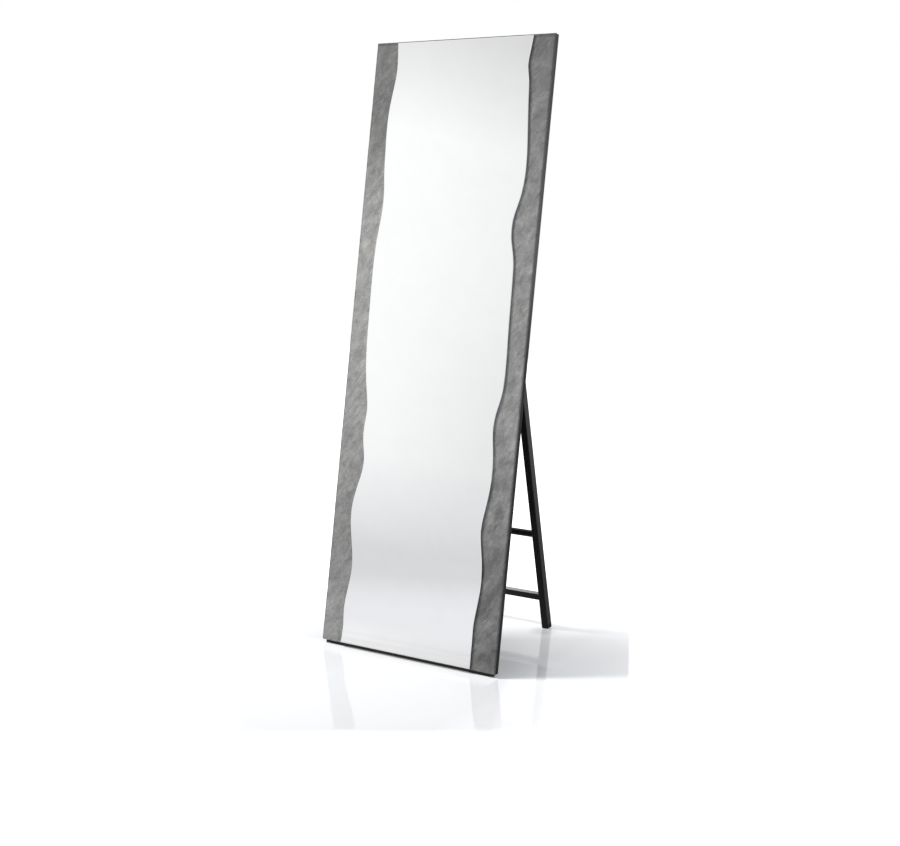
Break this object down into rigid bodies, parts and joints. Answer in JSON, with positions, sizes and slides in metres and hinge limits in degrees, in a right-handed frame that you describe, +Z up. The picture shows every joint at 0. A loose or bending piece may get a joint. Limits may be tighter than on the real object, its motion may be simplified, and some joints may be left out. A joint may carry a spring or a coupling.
{
  "type": "standing mirror",
  "caption": "Tall slate panel with a wavy-sided mirror glued on its front, leaning back on a black ladder frame that folds flat against its back.",
  "frame": {"origin": "centre of the footprint on the floor", "axes": "+Z up; +X across the mirror, to the right of someone who looks into it; +Y to the rear, so the mirror faces -Y and leans back towards +Y"},
  "size_m": [0.6, 0.5008, 1.775],
  "materials": {
    "slate": "honed riven slate, satin",
    "mirror": "silvered float glass",
    "film": "grey vinyl film",
    "tape": "white foam tape",
    "adhesive": "grey stone adhesive",
    "board": "matt black painted fibreboard",
    "edge_band": "charcoal edge banding, satin",
    "black_wood": "satin black paint over close grain",
    "dowel": "bare beech",
    "hinge_steel": "zinc plated",
    "screw_steel": "zinc plated",
    "rubber": "matt black rubber"
  },
  "bodies": {
    "panel": {"back_board": "board", "bottom_rail": "black_wood", "rail_screws": "screw_steel", "floor_pads": "rubber", "slate_bed": "adhesive", "slate_sheet": "slate", "mirror_glass": "mirror", "safety_film": "film", "mirror_tape": "tape", "edge_band_left": "edge_band", "edge_band_right": "edge_band", "edge_band_top": "edge_band", "hinge_batten": "black_wood", "batten_screws": "screw_steel", "hinge_left_fixed_leaf": "hinge_steel", "hinge_right_fixed_leaf": "hinge_steel", "hinge_left_pin": "hinge_steel", "hinge_right_pin": "hinge_steel", "fixed_leaf_screws": "screw_steel"},
    "support_frame": {"leg_left": "black_wood", "leg_right": "black_wood", "head_rail": "black_wood", "rung_upper": "black_wood", "rung_lower": "black_wood", "frame_dowels": "dowel", "foot_cap_left": "rubber", "foot_cap_right": "rubber", "hinge_left_moving_leaf": "hinge_steel", "hinge_right_moving_leaf": "hinge_steel", "moving_leaf_screws": "screw_steel"}
  },
  "joints": [
    {"name": "frame_fold", "type": "hinge", "parent": "panel", "child": "support_frame", "pos_m": [0, -0.01885, 1.05974], "axis": [1, 0, 0], "range_deg": [-23, 0]}
  ]
}
